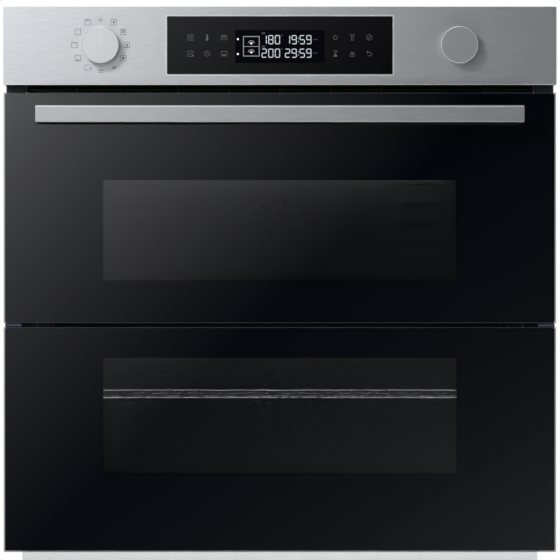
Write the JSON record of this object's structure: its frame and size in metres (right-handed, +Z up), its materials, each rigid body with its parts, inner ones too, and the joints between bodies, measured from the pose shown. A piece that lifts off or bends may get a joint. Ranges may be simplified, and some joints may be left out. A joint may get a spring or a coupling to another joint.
{
  "type": "wall oven",
  "caption": "Built-in electric oven with a split glass door, a steel control panel with two knobs and a display, a full-width handle, and a two-zone cavity with racks, heaters and fans.",
  "frame": {"origin": "middle of the whole oven's box in X and Y, on the plane of the base", "axes": "+X to the right seen from the front, -Y out of the front, +Z up"},
  "size_m": [0.595, 0.613, 0.5871],
  "materials": {
    "stainless": "horizontal brushed",
    "bright_trim": "polished",
    "black_glass": "gloss, black printed",
    "clear_glass": "gloss",
    "galvanised": "zinc coated",
    "black_paint": "satin",
    "enamel": "gloss speckled enamel",
    "wool": "matt glass wool",
    "seal_rubber": "matt silicone",
    "chromed_wire": "polished",
    "heater_sheath": "oxidised",
    "fan_alloy": "satin",
    "motor_steel": "satin",
    "lamp_glass": "frosted",
    "black_plastic": "fine grain",
    "hinge_steel": "satin",
    "board": "gloss"
  },
  "bodies": {
    "cabinet": {"control_panel": "stainless", "display_bezel": "bright_trim", "display_glass": "black_glass", "cabinet_base": "galvanised", "cabinet_side_left": "galvanised", "cabinet_side_right": "galvanised", "cabinet_back": "galvanised", "cabinet_top": "galvanised", "air_channel": "galvanised", "hinge_receivers": "galvanised", "blower_housing": "galvanised", "front_frame": "black_paint", "oven_cavity": "enamel", "upper_fan_cover": "enamel", "lower_fan_cover": "enamel", "divider": "enamel", "cavity_insulation": "wool", "cavity_gasket": "seal_rubber", "divider_seal": "seal_rubber", "side_rack_left": "chromed_wire", "side_rack_right": "chromed_wire", "grill_element": "heater_sheath", "bottom_element": "heater_sheath", "ring_elements": "heater_sheath", "temperature_sensors": "heater_sheath", "fan_motors": "motor_steel", "blower_motor": "motor_steel", "oven_lamps": "lamp_glass", "air_outlet": "black_plastic", "terminal_block": "black_plastic", "panel_carrier": "black_plastic", "knob_encoders": "hinge_steel", "main_board": "board", "display_board": "board"},
    "lower_door": {"lower_outer_glass": "black_glass", "lower_door_frame": "black_paint", "lower_pane_case": "black_paint", "lower_middle_glass": "clear_glass", "lower_inner_glass": "clear_glass", "lower_mid_hinge": "hinge_steel", "door_hinges": "galvanised"},
    "upper_door": {"upper_outer_glass": "black_glass", "upper_door_frame": "black_paint", "upper_pane_case": "black_paint", "upper_middle_glass": "clear_glass", "upper_inner_glass": "clear_glass", "upper_mid_hinge": "hinge_steel", "handle_bar": "stainless", "handle_posts": "stainless"},
    "release": {"release_button": "black_plastic", "release_rod": "hinge_steel"},
    "plungers": {"release_plungers": "hinge_steel"},
    "mode_knob": {"mode_knob": "stainless"},
    "value_knob": {"value_knob": "stainless"},
    "upper_fan": {"upper_fan": "fan_alloy"},
    "lower_fan": {"lower_fan": "fan_alloy"},
    "blower_wheel": {"blower_wheel": "black_plastic"},
    "wire_rack": {"wire_rack": "chromed_wire"},
    "baking_tray": {"baking_tray": "enamel"}
  },
  "joints": [
    {"name": "full_door_hinge", "type": "hinge", "parent": "cabinet", "child": "lower_door", "pos_m": [0, -0.2545, 0.01], "axis": [1, 0, 0], "range_deg": [0, 90]},
    {"name": "upper_door_hinge", "type": "hinge", "parent": "lower_door", "child": "upper_door", "pos_m": [0, -0.2615, 0.24455], "axis": [1, 0, 0], "range_deg": [0, 90]},
    {"name": "release_press", "type": "slide", "parent": "upper_door", "child": "release", "axis": [0, 0, -1], "range_m": [0, 0.0025], "stiffness_N_per_m": 800, "springref_m": -0.004},
    {"name": "plunger_press", "type": "slide", "parent": "lower_door", "child": "plungers", "axis": [0, 0, -1], "range_m": [0, 0.0025], "stiffness_N_per_m": 200, "springref_m": -0.002},
    {"name": "mode_knob_turn", "type": "hinge", "parent": "cabinet", "child": "mode_knob", "pos_m": [-0.1925, -0.2635, 0.5452], "axis": [0, 1, 0], "continuous": true},
    {"name": "value_knob_turn", "type": "hinge", "parent": "cabinet", "child": "value_knob", "pos_m": [0.1925, -0.2635, 0.5452], "axis": [0, 1, 0], "continuous": true},
    {"name": "upper_fan_spin", "type": "hinge", "parent": "cabinet", "child": "upper_fan", "pos_m": [0, 0.2, 0.347], "axis": [0, 1, 0], "continuous": true},
    {"name": "lower_fan_spin", "type": "hinge", "parent": "cabinet", "child": "lower_fan", "pos_m": [0, 0.2, 0.15], "axis": [0, 1, 0], "continuous": true},
    {"name": "blower_spin", "type": "hinge", "parent": "cabinet", "child": "blower_wheel", "pos_m": [0, 0.215, 0.53], "axis": [0, 0, 1], "continuous": true},
    {"name": "rack_slide", "type": "slide", "parent": "cabinet", "child": "wire_rack", "axis": [0, -1, 0], "range_m": [0, 0.25]},
    {"name": "tray_slide", "type": "slide", "parent": "cabinet", "child": "baking_tray", "axis": [0, -1, 0], "range_m": [0, 0.22]}
  ],
  "couplings": [
    {"joint": "plunger_press", "follows": "release_press", "ratio": 1},
    {"joint": "rack_slide", "follows": "full_door_hinge", "m_per_rad": 0.159},
    {"joint": "tray_slide", "follows": "full_door_hinge", "m_per_rad": 0.14}
  ]
}
